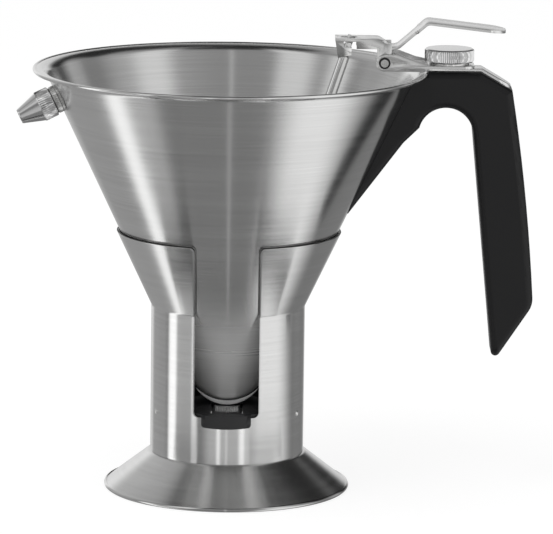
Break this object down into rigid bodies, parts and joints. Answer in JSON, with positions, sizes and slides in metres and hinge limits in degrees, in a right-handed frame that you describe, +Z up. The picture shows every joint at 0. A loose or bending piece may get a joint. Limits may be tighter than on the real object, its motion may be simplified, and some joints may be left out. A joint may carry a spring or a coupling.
{
  "type": "batter dispenser",
  "caption": "Steel batter funnel with a side handle, a thumb lever that lifts a valve rod, a screw-on nozzle and a spare, standing in a flared sleeve on a round foot.",
  "frame": {"origin": "centre of the foot's resting ring, on the surface it stands on", "axes": "+Z up along the funnel's axis, +X from that axis to the handle, -Y to the cut-out in the stand"},
  "size_m": [0.2508, 0.1914, 0.2311],
  "materials": {
    "brushed_steel": "stainless sheet, fine brushing round its axis",
    "bright_steel": "stainless, smooth and bright",
    "chromed": "turned, polished, with a fine straight knurl",
    "black_plastic": "moulded, fine satin grain",
    "insert_brass": "turned",
    "seal_rubber": "matt"
  },
  "bodies": {
    "stand": {"stand_foot": "brushed_steel", "stand_sleeve": "brushed_steel", "seat_insert": "black_plastic", "insert_screws": "bright_steel"},
    "funnel": {"funnel_bowl": "brushed_steel", "outlet_neck": "bright_steel", "nozzle_stud": "bright_steel", "handle_saddle": "brushed_steel", "handle_body": "black_plastic", "threaded_insert": "insert_brass", "handle_strap": "bright_steel", "lever_bracket": "bright_steel", "pivot_bushes": "black_plastic", "return_spring": "bright_steel"},
    "lever": {"lever": "bright_steel", "pivot_pin": "bright_steel"},
    "valve": {"valve_rod": "bright_steel", "valve_plug": "bright_steel", "rod_cross_pin": "bright_steel"},
    "knob_washer": {"knob_washer": "bright_steel"},
    "knob": {"knob": "chromed"},
    "fitted_seal": {"fitted_seal": "seal_rubber"},
    "fitted_nozzle": {"fitted_nozzle": "chromed"},
    "spare_seal": {"spare_seal": "seal_rubber"},
    "spare_nozzle": {"spare_nozzle": "chromed"}
  },
  "joints": [
    {"name": "funnel_lift", "type": "slide", "parent": "stand", "child": "funnel", "axis": [0, 0, 1], "range_m": [0, 0.11]},
    {"name": "lever_pivot", "type": "hinge", "parent": "funnel", "child": "lever", "pos_m": [0.0741, 0, 0.21092], "axis": [0, 1, 0], "range_deg": [0, 10], "stiffness_Nm_per_rad": 0.5, "springref_deg": -11.46, "deforming": ["return_spring"]},
    {"name": "rod_lift", "type": "slide", "parent": "funnel", "child": "valve", "axis": [0.3111, 0, 0.9504], "range_m": [0, 0.00314]},
    {"name": "knob_rise", "type": "slide", "parent": "funnel", "child": "knob_washer", "axis": [0, 0, 1], "range_m": [0, 0.002]},
    {"name": "knob_turn", "type": "hinge", "parent": "knob_washer", "child": "knob", "pos_m": [0.1055, 0, 0.21102], "axis": [0, 0, 1], "range_deg": [0, 720]},
    {"name": "fitted_nozzle_drop", "type": "slide", "parent": "funnel", "child": "fitted_seal", "axis": [0, 0, -1], "range_m": [0, 0.0065]},
    {"name": "fitted_nozzle_turn", "type": "hinge", "parent": "fitted_seal", "child": "fitted_nozzle", "pos_m": [0, 0, 0.0413], "axis": [0, 0, -1], "range_deg": [0, 2340]},
    {"name": "spare_nozzle_off", "type": "slide", "parent": "funnel", "child": "spare_seal", "axis": [-0.8937, -0.1415, -0.4258], "range_m": [0, 0.0065]},
    {"name": "spare_nozzle_turn", "type": "hinge", "parent": "spare_seal", "child": "spare_nozzle", "pos_m": [-0.08286, -0.01312, 0.1924], "axis": [-0.8937, -0.1415, -0.4258], "range_deg": [0, 2340]}
  ],
  "couplings": [
    {"joint": "lever_pivot", "follows": "rod_lift", "rad_per_m": 55.41},
    {"joint": "knob_turn", "follows": "knob_rise", "rad_per_m": 6283.2},
    {"joint": "fitted_nozzle_turn", "follows": "fitted_nozzle_drop", "rad_per_m": 6283.2},
    {"joint": "spare_nozzle_turn", "follows": "spare_nozzle_off", "rad_per_m": 6283.2}
  ]
}
